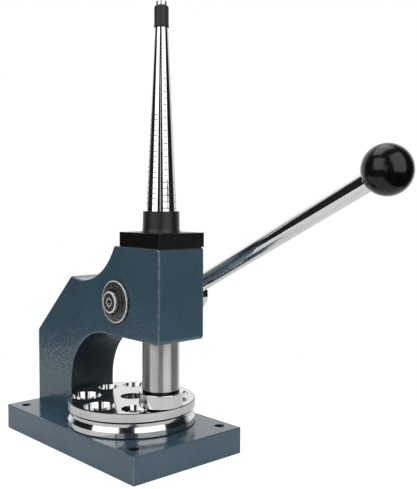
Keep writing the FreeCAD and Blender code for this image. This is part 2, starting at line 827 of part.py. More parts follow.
def main():
    os.makedirs("parts", exist_ok=True)
    for name, make in PIECES.items():
        make().exportStep("parts/" + name + ".step")
    for place, angle in SEGMENTS.items():
        mandrel_segment(angle).exportStep("parts/mandrel_segment_" + place + ".step")


main()
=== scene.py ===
"""Looks of the bench ring stretcher: enamel, plating, the engraved mandrel, camera and studio."""
import json
import math

import bmesh
import bpy
from bpy.props import FloatProperty, FloatVectorProperty, IntProperty, PointerProperty
from mathutils import Matrix, Vector


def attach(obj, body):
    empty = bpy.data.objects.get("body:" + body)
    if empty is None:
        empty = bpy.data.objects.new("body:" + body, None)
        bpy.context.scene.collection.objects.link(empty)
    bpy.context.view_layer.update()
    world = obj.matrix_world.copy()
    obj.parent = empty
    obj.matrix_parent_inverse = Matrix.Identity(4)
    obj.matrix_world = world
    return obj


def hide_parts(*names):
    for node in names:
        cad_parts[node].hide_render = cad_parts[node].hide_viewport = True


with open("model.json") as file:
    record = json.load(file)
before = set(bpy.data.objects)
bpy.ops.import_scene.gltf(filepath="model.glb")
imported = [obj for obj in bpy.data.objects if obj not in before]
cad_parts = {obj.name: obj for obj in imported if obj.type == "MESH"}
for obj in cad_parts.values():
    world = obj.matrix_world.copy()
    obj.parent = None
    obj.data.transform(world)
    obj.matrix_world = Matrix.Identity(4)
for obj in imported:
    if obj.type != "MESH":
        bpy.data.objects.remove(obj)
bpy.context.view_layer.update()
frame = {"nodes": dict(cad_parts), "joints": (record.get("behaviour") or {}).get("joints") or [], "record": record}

bl_info = {
    "name": "Ring Stretcher Looks",
    "version": (1, 0, 0),
    "blender": (4, 5, 0),
    "location": "View3D > Sidebar > Ring Stretcher",
    "description": "Finishes and studio for a bench ring stretcher",
    "category": "Object",
}

MM = 0.001
JOINT_POINTS = {joint["name"]: joint.get("pos_m") for joint in frame["joints"]}
BENCH_HOLES = next(mount["dims"] for mount in frame["record"]["mounts"] if mount["name"] == "bench_bolts")


def box(node):
    """Low and high corners of a CAD node in metres."""
    corners = frame["nodes"][node].bound_box
    return Vector(corners[0]), Vector(corners[6])


SHAFT = Vector(JOINT_POINTS["lever_swing"])
PLATE_AXIS = Vector(JOINT_POINTS["die_turn"])
BASE_TOP = box("base_plate")[1].z
PLATE_FOOT, PLATE_TOP = (corner.z for corner in box("die_plate"))
PUSHER_FOOT = box("pusher")[0].z
RAM_FOOT = box("ram")[0].z

# The mandrel: a cone on a flange, with a spigot on its tip, bored for the tapered core.
MANDREL_Y = sum(corner.y for corner in box("expander_core")) / 2
SEGMENT_FOOT, SEGMENT_TOP = (corner.z for corner in box("mandrel_segment_front"))
CONE_FOOT = SEGMENT_FOOT + 4.0 * MM
CONE_TIP = SEGMENT_TOP - 10.0 * MM
CONE_TIP_R = 4.65 * MM
CONE_TAPER = 0.04757
TIP_BEVEL = (0.4 * MM, 0.5 * MM)
FLANGE_R = 16.5 * MM
SPIGOT_R = 3.9 * MM
BORE_TIP_R = 2.75 * MM
BORE_TAPER = 0.0225

# Angles across one segment in degrees, from its middle.
SEGMENT_HALF = 38.0
EDGE_MIDDLE = 37.4
EDGE_FROM = 36.6
PLAIN_FROM = 32.0
SCALE_HALF = 31.5
SCALE_STEP = 1.5
FIGURE_TURN = -19.0
FULL_LINE = (-SCALE_HALF, SCALE_HALF)
SHORT_LINE = (-25.5, -10.5)
NO_LINE = (1.0, -1.0)

EDGE_SHAVE = 0.35 * MM
SHAVED_FROM_R = 0.9 * CONE_TIP_R
FIGURE_RISE = 0.04 * MM
FONT_PER_HEIGHT = 1.4

# The throat's wall, painted in shade, and the rippled stretch on the left of the column with its flat ripples and
# painted light and dark specks.
THROAT_FRONT = -13.5 * MM
THROAT_REAR = 36.1 * MM
THROAT_TOP = 89.0 * MM
RIPPLE_ZONE_FOOT = (38.0 * MM, 58.0 * MM)
RIPPLE_ZONE_TOP = (64.0 * MM, 92.0 * MM)
RIPPLES = (0.75, 0.75, 1.9)

FILM_WIDTH = 36.0
LIGHTS_AIM = Vector((0.0, -0.05, 0.18))
ALONG_Z = (1.0, 1.0, 0.02)
ROUND_Z = (0.02, 0.02, 1.0)


class StudioSettings(bpy.types.PropertyGroup):
    """Camera, floor and lights."""

    eye: FloatVectorProperty(
        name="Camera position", description="Where the camera stands",
        default=(-0.3360, -0.47005, 0.1869), subtype="TRANSLATION", unit="LENGTH")
    yaw: FloatProperty(
        name="Yaw", description="Turn of the view from +Y towards +X",
        default=math.radians(42.585), subtype="ANGLE", unit="ROTATION")
    pitch: FloatProperty(
        name="Pitch", description="How far the view looks down",
        default=math.radians(3.162), subtype="ANGLE", unit="ROTATION")
    roll: FloatProperty(
        name="Roll", description="Tilt of the picture",
        default=math.radians(0.2825), subtype="ANGLE", unit="ROTATION")
    lens: FloatProperty(
        name="Lens", description="Focal length on a frame 36 mm wide", default=54.15, unit="CAMERA")
    floor_low: FloatVectorProperty(
        name="Floor near corner", description="Left front corner of the pale sheet", size=2,
        default=(-0.30, -0.30), unit="LENGTH")
    floor_high: FloatVectorProperty(
        name="Floor far corner", description="Right rear corner of the pale sheet", size=2,
        default=(0.30, 0.36), unit="LENGTH")
    floor_glow: FloatProperty(
        name="Floor glow", description="Light that the sheet adds of its own", default=0.28, min=0.0)
    right_light: FloatProperty(
        name="Right softbox", description="Radiance of the tall softbox on the right", default=1.7, min=0.0)
    left_light: FloatProperty(
        name="Left softbox", description="Radiance of the softbox on the left", default=1.85, min=0.0)
    top_light: FloatProperty(
        name="Top softbox", description="Radiance of the softbox overhead", default=2.3, min=0.0)
    front_light: FloatProperty(
        name="Front card", description="Radiance of the dim card behind the camera", default=1.15, min=0.0)
    room: FloatProperty(
        name="Room", description="Radiance of the dark room behind the camera", default=0.016, min=0.0)


class EnamelSettings(bpy.types.PropertyGroup):
    """The enamelled base and casting."""

    colour: FloatVectorProperty(
        name="Colour", description="Slate enamel", subtype="COLOR", size=4,
        default=(0.060, 0.112, 0.154, 1.0), min=0.0, max=1.0)
    # Colour of the edges, thinned enamel with a painted highlight, and of the painted light specks.
    wear_and_highlight: FloatVectorProperty(
        name="Edge colour", description="Enamel thinned over the edges", subtype="COLOR", size=4,
        default=(0.20, 0.25, 0.29, 1.0), min=0.0, max=1.0)
    roughness: FloatProperty(
        name="Roughness", description="Gloss of the enamel", default=0.03, min=0.0, max=1.0,
        subtype="FACTOR")
    coat: FloatProperty(
        name="Coat", description="Clear coat over the enamel", default=0.22, min=0.0, max=1.0,
        subtype="FACTOR")
    # Colour of the painted shade inside the throat, also used for the painted dark specks.
    throat: FloatVectorProperty(
        name="Throat colour", description="Thin dark coat inside the throat", subtype="COLOR", size=4,
        default=(0.010, 0.017, 0.020, 1.0), min=0.0, max=1.0)
    peel: FloatProperty(
        name="Orange peel", description="Height of the orange peel", default=0.22 * MM, unit="LENGTH")
    peel_scale: FloatProperty(
        name="Peel scale", description="Ripples of the orange peel per metre", default=750.0)


class MandrelSettings(bpy.types.PropertyGroup):
    """Engraving on the mandrel's segments."""

    line_width: FloatProperty(
        name="Line width", description="Width of an engraved line", default=0.56 * MM, unit="LENGTH")
    line_depth: FloatProperty(
        name="Line depth", description="Depth of an engraved line", default=0.1 * MM, unit="LENGTH")
    front_pitch: FloatProperty(
        name="Front pitch", description="Spacing of the front scale", default=4.6 * MM, unit="LENGTH")
    front_top: FloatProperty(
        name="Front top", description="Height of the front scale's first line", default=280.2 * MM,
        unit="LENGTH")
    front_marks: IntProperty(
        name="Front lines", description="Number of lines on the front scale", default=22)
    front_short: IntProperty(
        name="Short front lines", description="How many of the front scale's upper lines are short",
        default=17)
    side_pitch: FloatProperty(
        name="Side pitch", description="Spacing of the side scale", default=3.74 * MM, unit="LENGTH")
    side_top: FloatProperty(
        name="Side top", description="Height of the side scale's first line", default=250.2 * MM,
        unit="LENGTH")
    side_marks: IntProperty(
        name="Side lines", description="Number of lines on the side scale", default=18)
    figure_height: FloatProperty(
        name="Figure height", description="Height of the numerals", default=1.4 * MM, unit="LENGTH")


class Wire:
    """A shader socket that can be added, multiplied and blended like a number."""

    def __init__(self, tree, socket=None):
        self.tree = tree
        self.socket = socket

    def node(self, kind, settings=None, inputs=None, output=0):
        """Makes one node: its settings first, then socket values or links."""
        made = self.tree.nodes.new(kind)
        for key, value in (settings or {}).items():
            setattr(made, key, value)
        for key, value in (inputs or {}).items():
            if isinstance(value, Wire):
                self.tree.links.new(value.socket, made.inputs[key])
            else:
                made.inputs[key].default_value = value
        return Wire(self.tree, made.outputs[output])

    def maths(self, operation, *values):
        return self.node("ShaderNodeMath", {"operation": operation}, dict(enumerate(values)))

    def __add__(self, other):
        return self.maths("ADD", self, other)

    def __sub__(self, other):
        return self.maths("SUBTRACT", self, other)

    def __rsub__(self, other):
        return self.maths("SUBTRACT", other, self)

    def __mul__(self, other):
        return self.maths("MULTIPLY", self, other)

    def __truediv__(self, other):
        return self.maths("DIVIDE", self, other)

    def __rtruediv__(self, other):
        return self.maths("DIVIDE", other, self)

    def __pow__(self, other):
        return self.maths("POWER", self, other)

    __radd__ = __add__
    __rmul__ = __mul__

    def between(self, low, high, to_low=0.0, to_high=1.0):
        """Remaps low..high smoothly and holds the ends."""
        return self.node(
            "ShaderNodeMapRange", {"interpolation_type": "SMOOTHSTEP"},
            {0: self, 1: low, 2: high, 3: to_low, 4: to_high})

    def within(self, low, high, soft, share=1.0):
        """The share from low to high, fading out over a soft margin beyond them."""
        return self.between(low - soft, low) * self.between(high, high + soft, share, 0.0)

    def blend(self, first, second):
        """Mixes two colours, this wire being the share of the second."""
        return self.node(
            "ShaderNodeMix", {"data_type": "RGBA"}, {0: self, 6: first, 7: second}, 2)

    def part(self, axis):
        return self.node("ShaderNodeSeparateXYZ", None, {0: self}, axis)

    def stretched(self, scale):
        return self.node("ShaderNodeMapping", None, {"Vector": self, "Scale": scale})

    def noise(self, scale, detail=2.0, roughness=0.5, stretch=None):
        place = self.stretched(stretch) if stretch else self
        return self.node(
            "ShaderNodeTexNoise", None,
            {"Vector": place, "Scale": scale, "Detail": detail, "Roughness": roughness})


def finish(name, base, roughness, metallic=0.0, **sockets):
    """Starts a material and returns it with its shader and its object coordinates."""
    material = bpy.data.materials.new(name)
    material.use_nodes = True
    tree = material.node_tree
    shader = tree.nodes["Principled BSDF"]
    place = Wire(tree).node("ShaderNodeTexCoord", None, None, "Object")
    paint(shader, {"Base Color": base, "Roughness": roughness, "Metallic": metallic, **sockets})
    return material, shader, place


def paint(shader, sockets):
    """Sets or links sockets of a shader."""
    for key, value in sockets.items():
        if isinstance(value, Wire):
            value.tree.links.new(value.socket, shader.inputs[key])
        else:
            shader.inputs[key].default_value = value


def relief(height, distance, strength=1.0):
    """Turns a height wire into a bumped normal."""
    return height.node(
        "ShaderNodeBump", None, {"Strength": strength, "Distance": distance, "Height": height})


def distance(across, along):
    """How far a place lies from an axis, from its two offsets."""
    return (across * across + along * along) ** 0.5


def edge_mask(wire, radius, low, high):
    """How sharply the surface turns within a radius: 1 on edges, 0 on flats."""
    rounded = wire.node("ShaderNodeBevel", {"samples": 6}, {"Radius": radius})
    true = wire.node("ShaderNodeNewGeometry", None, None, "Normal")
    dot = wire.node("ShaderNodeVectorMath", {"operation": "DOT_PRODUCT"}, {0: rounded, 1: true}, "Value")
    return (1.0 - dot).between(low, high)


def grey(value, warm=0.0):
    """A grey colour, a little warmer than neutral where asked."""
    return (value * (1 + warm), value, value * (1 - warm), 1.0)


def dress(material, *nodes):
    """Gives CAD nodes a material."""
    for name in nodes:
        mesh = frame["nodes"][name].data
        mesh.materials.clear()
        mesh.materials.append(material)


def enamel(look):
    """Slate enamel: orange peel; ripples low on the left with painted light and dark specks; edges lighter with
    thinned enamel and a painted highlight; painted shade in throat and holes.
    """
    material, shader, place = finish(
        "slate_enamel", look.colour, look.roughness, **{"Coat Roughness": 0.02})
    normal = place.node("ShaderNodeTexCoord", None, None, "Normal")
    upward = normal.part("Z").between(0.8, 0.95)
    sideways = normal.part("X") ** 2.0
    peel = place.noise(look.peel_scale)
    swell = place.noise(look.peel_scale * 0.25, detail=1.0, roughness=0.4)
    cloud = place.noise(26.0, detail=3.0, roughness=0.55).between(0.3, 0.7)
    deep = tuple(c * 0.86 for c in look.colour[:3]) + (1.0,)
    colour = cloud.blend(look.colour, deep)
    level = place.part("Z")
    left = normal.part("X").between(-0.95, -0.6, 1.0, 0.0)
    ripple_zone = left * level.between(*RIPPLE_ZONE_FOOT) * level.between(*RIPPLE_ZONE_TOP, 1.0, 0.0)
    ripple = place.noise(look.peel_scale * 0.6, roughness=0.6, stretch=RIPPLES)
    # Painted light specks: glints of the rippled gloss, strong in the ripple zone and faint elsewhere.
    painted_light_specks = ripple.between(0.52, 0.60)
    colour = (painted_light_specks * (ripple_zone * 0.40 + 0.06)).blend(colour, look.wear_and_highlight)
    # Painted dark specks: dark reflections in the ripples, painted in the throat's shade colour; the same spots
    # get less coat and more roughness.
    painted_dark_specks = ripple.between(0.42, 0.50, 1.0, 0.0)
    dull_and_painted_dark = painted_dark_specks * (ripple_zone * 0.7 + 0.06)
    colour = (dull_and_painted_dark * 0.45).blend(colour, look.throat)
    # Painted shade on the throat's inner wall and arch.
    throat = painted_throat_shade_mask(place, sideways)
    colour = (throat * 0.85).blend(colour, look.throat)
    # Edges lightened towards the edge colour, broken up by noise: partly thinned enamel, partly a painted
    # highlight, kept off edges turned towards +Y.
    edge = sideways.between(0.06, 0.3) * sideways.between(0.7, 0.94, 1.0, 0.0)
    edge = edge * normal.part("Y").between(0.1, 0.3, 1.0, 0.0)
    patchy_wear_and_highlight = place.noise(look.peel_scale * 0.83, roughness=0.6).between(0.42, 0.58, 0.2, 0.9)
    colour = (edge * patchy_wear_and_highlight).blend(colour, look.wear_and_highlight)
    # Painted shade in the bench holes: near black, without coat and rough.
    hole = painted_hole_shade_mask(place)
    paint(shader, {
        "Base Color": hole.blend(colour, grey(0.004)),
        "Coat Weight": (look.coat - upward * 0.10) * (1.0 - hole) * (1.0 - dull_and_painted_dark),
        "Roughness": cloud * 0.05 + look.roughness - 0.02 + throat * 0.30 + hole * 0.6 + dull_and_painted_dark * 0.2,
        "Normal": relief((peel + swell * 1.5) * (1.0 - upward * 0.4) + ripple * ripple_zone, look.peel, 0.8),
    })
    return material


def painted_hole_shade_mask(place):
    """Painted shade: 1 in the four bench holes of the base and on their rims, 0 elsewhere."""
    across = place.maths("ABSOLUTE", place.part("X")) - BENCH_HOLES["spacing_x_mm"] / 2 * MM
    along = place.maths("ABSOLUTE", place.part("Y")) - BENCH_HOLES["spacing_y_mm"] / 2 * MM
    wall = BENCH_HOLES["hole_r_mm"] * MM
    inside = distance(across, along).between(wall + 0.15 * MM, wall + 0.45 * MM, 1.0, 0.0)
    return inside * place.part("Z").between(BASE_TOP + 0.05 * MM, BASE_TOP + 0.15 * MM, 1.0, 0.0)


def painted_throat_shade_mask(place, sideways):
    """Painted shade: 1 on the inner wall and arch of the throat, 0 elsewhere."""
    behind = place.part("Y").between(THROAT_FRONT, THROAT_FRONT + 1.5 * MM)
    before = place.part("Y").between(THROAT_REAR, THROAT_REAR + 0.2 * MM, 1.0, 0.0)
    below = place.part("Z").between(THROAT_TOP, THROAT_TOP + 0.5 * MM, 1.0, 0.0)
    above = place.part("Z").between(BASE_TOP + 0.3 * MM, BASE_TOP + 0.6 * MM)
    return behind * before * below * above * sideways.between(0.1, 0.3, 1.0, 0.0)


def satin_black():
    """Black paint on the top plate, lighter on its edges with rubbed paint and a painted highlight, and painted
    lighter on its front faces.
    """
    material, shader, place = finish("satin_black", grey(0.001), 0.34, **{"Specular IOR Level": 0.28})
    grain = place.noise(900.0, detail=3.0, roughness=0.6)
    wave = place.noise(60.0)
    # Edges lightened: rubbed paint and a painted highlight.
    edge = edge_mask(place, 0.7 * MM, 0.03, 0.25)
    # Painted light: faces turned towards -Y are lightened with the grain.
    front = place.node("ShaderNodeTexCoord", None, None, "Normal").part("Y").between(-0.9, -0.5, 1.0, 0.0)
    faces = (front * grain.between(0.3, 0.7)).blend(grey(0.001), grey(0.012))
    paint(shader, {
        "Base Color": (edge * 0.5).blend(faces, grey(0.06)),
        "Roughness": wave * 0.18 + 0.28,
        "Normal": relief(grain + wave * 3.0, 0.06 * MM, 0.5),
    })
    return material


def moulding(name, shade, rough, grain_size):
    """Dark moulded plastic or rubber."""
    material, shader, place = finish(name, grey(shade), rough)
    grain = place.noise(grain_size, detail=3.0, roughness=0.6)
    wave = place.noise(140.0)
    paint(shader, {
        "Base Color": wave.between(0.3, 0.7).blend(grey(shade * 0.85), grey(shade * 1.15)),
        "Roughness": wave * 0.16 + rough - 0.08,
        "Normal": relief(grain, 0.05 * MM, 0.45),
    })
    return material


def plated(name, shade, rough, stretch, streak_size, warm=0.0):
    """Bright metal with fine polishing streaks along the stretched directions."""
    material, shader, place = finish(name, grey(shade, warm), rough, 1.0)
    streaks = place.noise(streak_size, detail=3.0, roughness=0.6, stretch=stretch)
    cloud = place.noise(70.0)
    paint(shader, {
        "Base Color": streaks.between(0.35, 0.65).blend(
            grey(shade * 0.93, warm), grey(min(shade * 1.04, 1.0), warm)),
        "Roughness": (streaks - 0.5) * 0.05 + (cloud - 0.5) * 0.03 + rough,
        "Normal": relief(streaks, 0.012 * MM, 0.30),
    })
    return material


def engraved_chrome():
    """Polished chrome of the mandrel, dark in the engraved lines, with painted shade along the slits."""
    material, shader, place = finish("mandrel_chrome", grey(0.74), 0.07, 1.0)
    ink_and_slit_shade = place.node("ShaderNodeAttribute", {"attribute_name": "engraved"}, None, "Fac")
    streaks = place.noise(900.0, stretch=ALONG_Z)
    mask = ink_and_slit_shade.between(0.02, 0.35)
    paint(shader, {
        "Base Color": mask.blend(grey(0.74), grey(0.03)),
        "Metallic": 1.0 - mask * 0.6,
        "Roughness": streaks * 0.04 + 0.045 + mask * 0.35,
    })
    return material


def ground_bar(name, shade, rough):
    """Upright ground bar: fine rings smear its reflections up and down; a band at its foot is painted in shade."""
    material, shader, place = finish(
        name, grey(shade, 0.02), rough, 1.0, **{"Anisotropic": 1.0, "Anisotropic Rotation": 0.25})
    rings = place.noise(2600.0, roughness=0.6, stretch=ROUND_Z)
    streaks = place.noise(210.0, roughness=0.6, stretch=ALONG_Z)
    stain = place.noise(60.0, detail=3.0, roughness=0.6)
    colour = (streaks * 0.75 + stain * 0.25).between(0.38, 0.62).blend(
        grey(shade * 0.85, 0.04), grey(shade * 1.12, 0.02))
    # Painted shade: a dark band just above the ram's foot, where it goes into the pusher.
    painted_shade = place.part("Z").between(RAM_FOOT + 0.8 * MM, RAM_FOOT + 1.4 * MM, 1.0, 0.0)
    paint(shader, {
        "Base Color": painted_shade.blend(colour, grey(0.012)),
        "Roughness": streaks * 0.06 + painted_shade * 0.4 + (rough - 0.03),
        "Normal": relief(rings, 0.02 * MM, 0.5),
    })
    return material


def inlay():
    """Dark filling of the engraved numerals."""
    material, shader, place = finish("engraved_inlay", grey(0.2), 0.5, 0.6)
    grain = place.noise(2000.0)
    paint(shader, {
        "Base Color": grain.blend(grey(0.15), grey(0.30)),
        "Roughness": grain * 0.2 + 0.4,
    })
    return material


def turned_face(name, shade, rough, centre, pitch, painted_shade_lines):
    """Metal with lathe rings round a vertical axis, and lines of painted shade along its grooves, seams and edges.
    """
    material, shader, place = finish(name, grey(shade), rough, 1.0)
    radius = distance(place.part("X") - centre.x, place.part("Y") - centre.y)
    level = place.part("Z")
    rings = place.node(
        "ShaderNodeTexNoise", {"noise_dimensions": "2D"},
        {"Vector": place.node("ShaderNodeCombineXYZ", None, {0: radius, 1: level}),
         "Scale": 1.0 / pitch, "Detail": 2.0})
    cloud = place.noise(60.0)
    painted_shade = sum(level.within(low, high, 0.3 * MM) * radius.within(inner, outer, 0.1 * MM)
              for low, high, inner, outer in painted_shade_lines)
    clean = rings.between(0.3, 0.7).blend(grey(shade * 0.9), grey(shade))
    paint(shader, {
        "Base Color": painted_shade.blend(clean, grey(0.012)),
        "Roughness": rings * 0.07 + cloud * 0.05 + painted_shade * 0.4 + (rough - 0.05),
        "Normal": relief(rings, 0.01 * MM, 0.35),
    })
    return material


def dark_steel(name, shade, rough):
    """Blackened steel, brighter on its rubbed edges."""
    material, shader, place = finish(name, grey(shade), rough, 1.0)
    edge = edge_mask(place, 0.5 * MM, 0.04, 0.30)
    cloud = place.noise(220.0, detail=3.0, roughness=0.6)
    paint(shader, {
        "Base Color": edge.blend(
            cloud.between(0.3, 0.7).blend(grey(shade * 0.8), grey(shade * 1.2)), grey(0.62)),
        "Roughness": cloud * 0.15 + rough - 0.07,
        "Normal": relief(cloud, 0.02 * MM, 0.35),
    })
    return material


def shaft_end_steel(name, shade, rim, rim_share=1.0, socket_r=0.0):
    """Turned dark steel round the shaft's axis: a painted highlight on a rim, rubbed metal and a painted highlight
    round the socket, and painted shade inside the socket.
    """
    material, shader, place = finish(name, grey(shade), 0.3, 1.0)
    radius = distance(place.part("Y") - SHAFT.y, place.part("Z") - SHAFT.z)
    soft = 0.2 * MM
    wear_and_highlight_r = socket_r + 0.8 * MM
    # Painted shade: the hex socket is filled near black.
    socket = radius.between(socket_r, socket_r + soft, 1.0, 0.0)
    # Round the socket: rubbed metal and a painted highlight.
    wear_and_highlight = radius.between(wear_and_highlight_r, wear_and_highlight_r + soft, 0.9, 0.0)
    # Painted highlight on the rim, made less metallic so it stays light all round.
    bright = radius.maths("MAXIMUM", radius.within(*rim, soft, rim_share), wear_and_highlight)
    grain = place.noise(750.0, detail=3.0, roughness=0.7)
    rings = place.node(
        "ShaderNodeTexNoise", {"noise_dimensions": "1D"}, {"W": radius, "Scale": 2600.0, "Detail": 2.0})
    turned = (grain * 0.6 + rings * 0.4).between(0.38, 0.62).blend(grey(shade * 0.12), grey(shade * 2.8))
    paint(shader, {
        "Base Color": socket.blend(bright.blend(turned, grey(0.95)), grey(0.004)),
        "Metallic": 1.0 - bright * 0.8,
        "Roughness": grain * 0.2 + 0.24,
        "Normal": relief(grain + rings, 0.08 * MM, 0.5),
    })
    return material


def glossy_ball():
    """Glossy black moulding of the lever's ball."""
    material, shader, place = finish("ball_black", grey(0.004), 0.12, **{"Specular IOR Level": 0.38})
    wave = place.noise(40.0)
    fine = place.noise(900.0)
    paint(shader, {
        "Base Color": wave.between(0.3, 0.7).blend(grey(0.003), grey(0.006)),
        "Roughness": fine * 0.06 + 0.16,
        "Normal": relief(wave, 0.03 * MM, 0.25),
    })
    return material


class PieceOperator:
    """Shared settings of the operators that dress pieces."""

    bl_options = {"REGISTER", "UNDO"}


class RINGPRESS_OT_stage(PieceOperator, bpy.types.Operator):
    """Sets the camera, the pale floor, the white surround, three softboxes and a front card"""

    bl_idname = "ringpress.stage"
    bl_label = "Stage"

    def execute(self, context):
        look = context.scene.ringpress_studio
        self.camera(context.scene, look)
        self.floor(look)
        self.surround(context.scene, look)
        for name, azimuth, elevation, away, size, radiance in (
                ("right_softbox", 42.0, 26.0, 1.25, (1.25, 1.65), look.right_light),
                ("left_softbox", -47.0, 24.0, 1.30, (1.1, 1.15), look.left_light),
                ("top_softbox", -150.0, 78.0, 1.15, (1.2, 0.75), look.top_light),
                ("front_card", -15.0, 6.0, 1.30, (0.30, 0.50), look.front_light)):
            way = self.way(look, math.radians(azimuth), math.radians(elevation))
            self.softbox(name, way, LIGHTS_AIM + way * away, size, radiance)
        context.scene.view_settings.view_transform = "Standard"
        return {"FINISHED"}

    def camera(self, scene, look):
        data = bpy.data.cameras.new("camera")
        data.lens = look.lens
        data.sensor_width = FILM_WIDTH
        data.clip_start = 0.01
        view = Vector((math.sin(look.yaw) * math.cos(look.pitch),
                       math.cos(look.yaw) * math.cos(look.pitch), -math.sin(look.pitch)))
        level = Vector((math.cos(look.yaw), -math.sin(look.yaw), 0.0))
        above = level.cross(view)
        right = math.cos(look.roll) * level + math.sin(look.roll) * above
        up = math.cos(look.roll) * above - math.sin(look.roll) * level
        turn = Matrix((right, up, -view)).transposed().to_4x4()
        camera = bpy.data.objects.new("camera", data)
        camera.matrix_world = Matrix.Translation(look.eye) @ turn
        scene.collection.objects.link(camera)
        scene.camera = camera

    def floor(self, look):
        (left, front), (right, rear) = look.floor_low, look.floor_high
        mesh = bpy.data.meshes.new("floor")
        mesh.from_pydata([(left, front, 0), (right, front, 0), (right, rear, 0), (left, rear, 0)],
                         [], [(0, 1, 2, 3)])
        floor = bpy.data.objects.new("floor", mesh)
        bpy.context.scene.collection.objects.link(floor)
        material, shader, place = finish("pale_floor", grey(0.9), 0.5)
        cloud = place.noise(3.0)
        seen = place.node("ShaderNodeLightPath", None, None, "Is Camera Ray")
        paint(shader, {
            "Base Color": cloud.blend(grey(0.48), grey(0.52)),
            "Emission Color": seen.blend(grey(look.floor_glow), grey(0.9)),
            "Emission Strength": 1.0,
            "Specular IOR Level": 0.1,
        })
        mesh.materials.append(material)

    def surround(self, scene, look):
        """White to the eye; pale behind the object and dark behind the camera in reflections."""
        world = bpy.data.worlds.new("studio")
        scene.world = world
        world.use_nodes = True
        wire = Wire(world.node_tree)
        way = wire.node("ShaderNodeTexCoord", None, None, "Generated")
        back = (math.sin(look.yaw), math.cos(look.yaw), 0.0)
        facing = wire.node("ShaderNodeVectorMath", {"operation": "DOT_PRODUCT"}, {0: way, 1: back}, "Value")
        pale = facing.between(0.42, 0.72)
        seen = wire.node("ShaderNodeLightPath", None, None, "Is Camera Ray")
        lit = pale.blend(grey(look.room), grey(1.0))
        paint(world.node_tree.nodes["Background"], {"Color": seen.blend(lit, grey(1.0)), "Strength": 1.0})

    def way(self, look, turn, rise):
        """Direction of a light, turned to the right and raised from the camera's own direction."""
        near = Vector((-math.sin(look.yaw), -math.cos(look.yaw), 0.0))
        side = Vector((math.cos(look.yaw), -math.sin(look.yaw), 0.0))
        way = (near * math.cos(turn) + side * math.sin(turn)) * math.cos(rise)
        way.z = math.sin(rise)
        return way

    def softbox(self, name, way, place, size, radiance):
        """Hangs a rectangular light that shines back along its way."""
        data = bpy.data.lights.new(name, "AREA")
        data.shape = "RECTANGLE"
        data.size, data.size_y = size
        data.energy = radiance * math.pi * size[0] * size[1]
        light = bpy.data.objects.new(name, data)
        light.location = place
        light.rotation_euler = way.to_track_quat("Z", "Y").to_euler()
        bpy.context.scene.collection.objects.link(light)


class RINGPRESS_OT_frame(PieceOperator, bpy.types.Operator):
    """Enamels the base plate and the cast frame"""

    bl_idname = "ringpress.frame"
    bl_label = "Base and Casting"

    def execute(self, context):
        dress(enamel(context.scene.ringpress_enamel), "base_plate", "frame_casting")
        return {"FINISHED"}


class RINGPRESS_OT_top_plate(PieceOperator, bpy.types.Operator):
    """Paints the top plate, its screws, the collar and the rubber cap"""

    bl_idname = "ringpress.top_plate"
    bl_label = "Top Plate, Collar and Cap"

    def execute(self, context):
        dress(satin_black(), "top_plate")
        dress(dark_steel("black_oxide", shade=0.05, rough=0.35),
              "top_plate_screws", "lever_set_screw", "pusher_screw", "frame_bolts")
        dress(moulding("charcoal_moulding", shade=0.014, rough=0.38, grain_size=700.0), "mandrel_collar")
        dress(moulding("black_rubber", shade=0.022, rough=0.50, grain_size=900.0),
              "mandrel_cap", "segment_return_ring")
        return {"FINISHED"}


